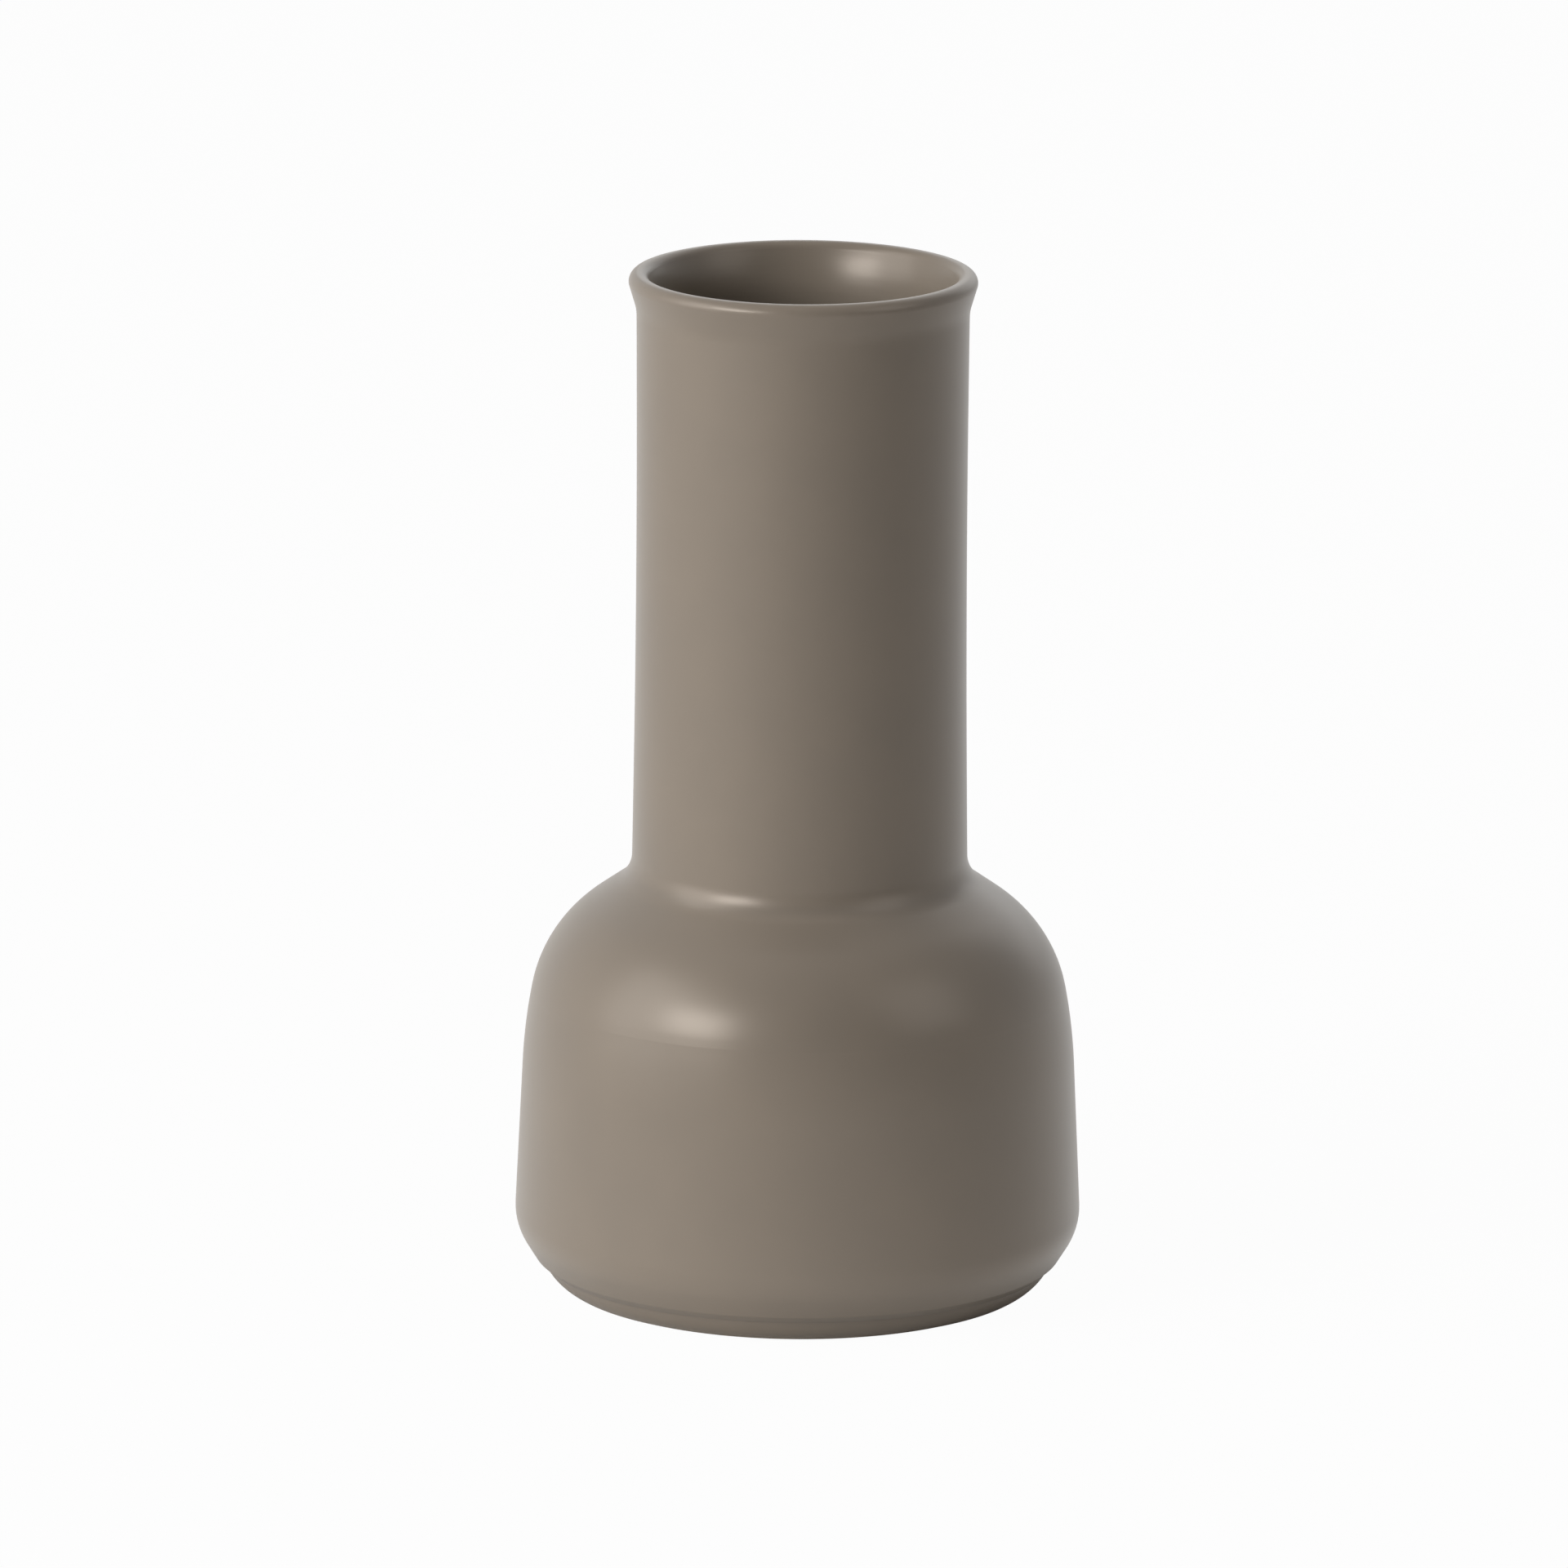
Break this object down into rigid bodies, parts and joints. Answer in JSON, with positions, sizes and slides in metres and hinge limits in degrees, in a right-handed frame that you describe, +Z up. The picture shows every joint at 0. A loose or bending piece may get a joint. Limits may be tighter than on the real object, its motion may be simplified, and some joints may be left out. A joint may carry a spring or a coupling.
{
  "type": "carafe vase",
  "caption": "Ceramic carafe vase with a low wide belly on a turned foot, a tall straight neck and a flared lip, satin glazed in taupe.",
  "frame": {"origin": "centre of the standing ring, on the ground", "axes": "+Z up along the turning axis, out of the mouth; the vase is round, so X and Y are free"},
  "size_m": [0.123, 0.123, 0.225],
  "materials": {
    "bare_clay": "bare fired stoneware, turned and sponged smooth",
    "body_clay": "fired stoneware under the glaze",
    "slip": "fired joining slip",
    "outer_glaze": "satin matt taupe glaze",
    "inner_glaze": "satin matt taupe liner glaze",
    "base_glaze": "satin matt taupe glaze in the recess"
  },
  "bodies": {
    "root": {"foot_ring": "bare_clay", "belly_bowl": "body_clay", "neck_tube": "body_clay", "foot_slip": "slip", "neck_slip": "slip", "outer_glaze": "outer_glaze", "inner_glaze": "inner_glaze", "base_glaze": "base_glaze"}
  },
  "joints": []
}
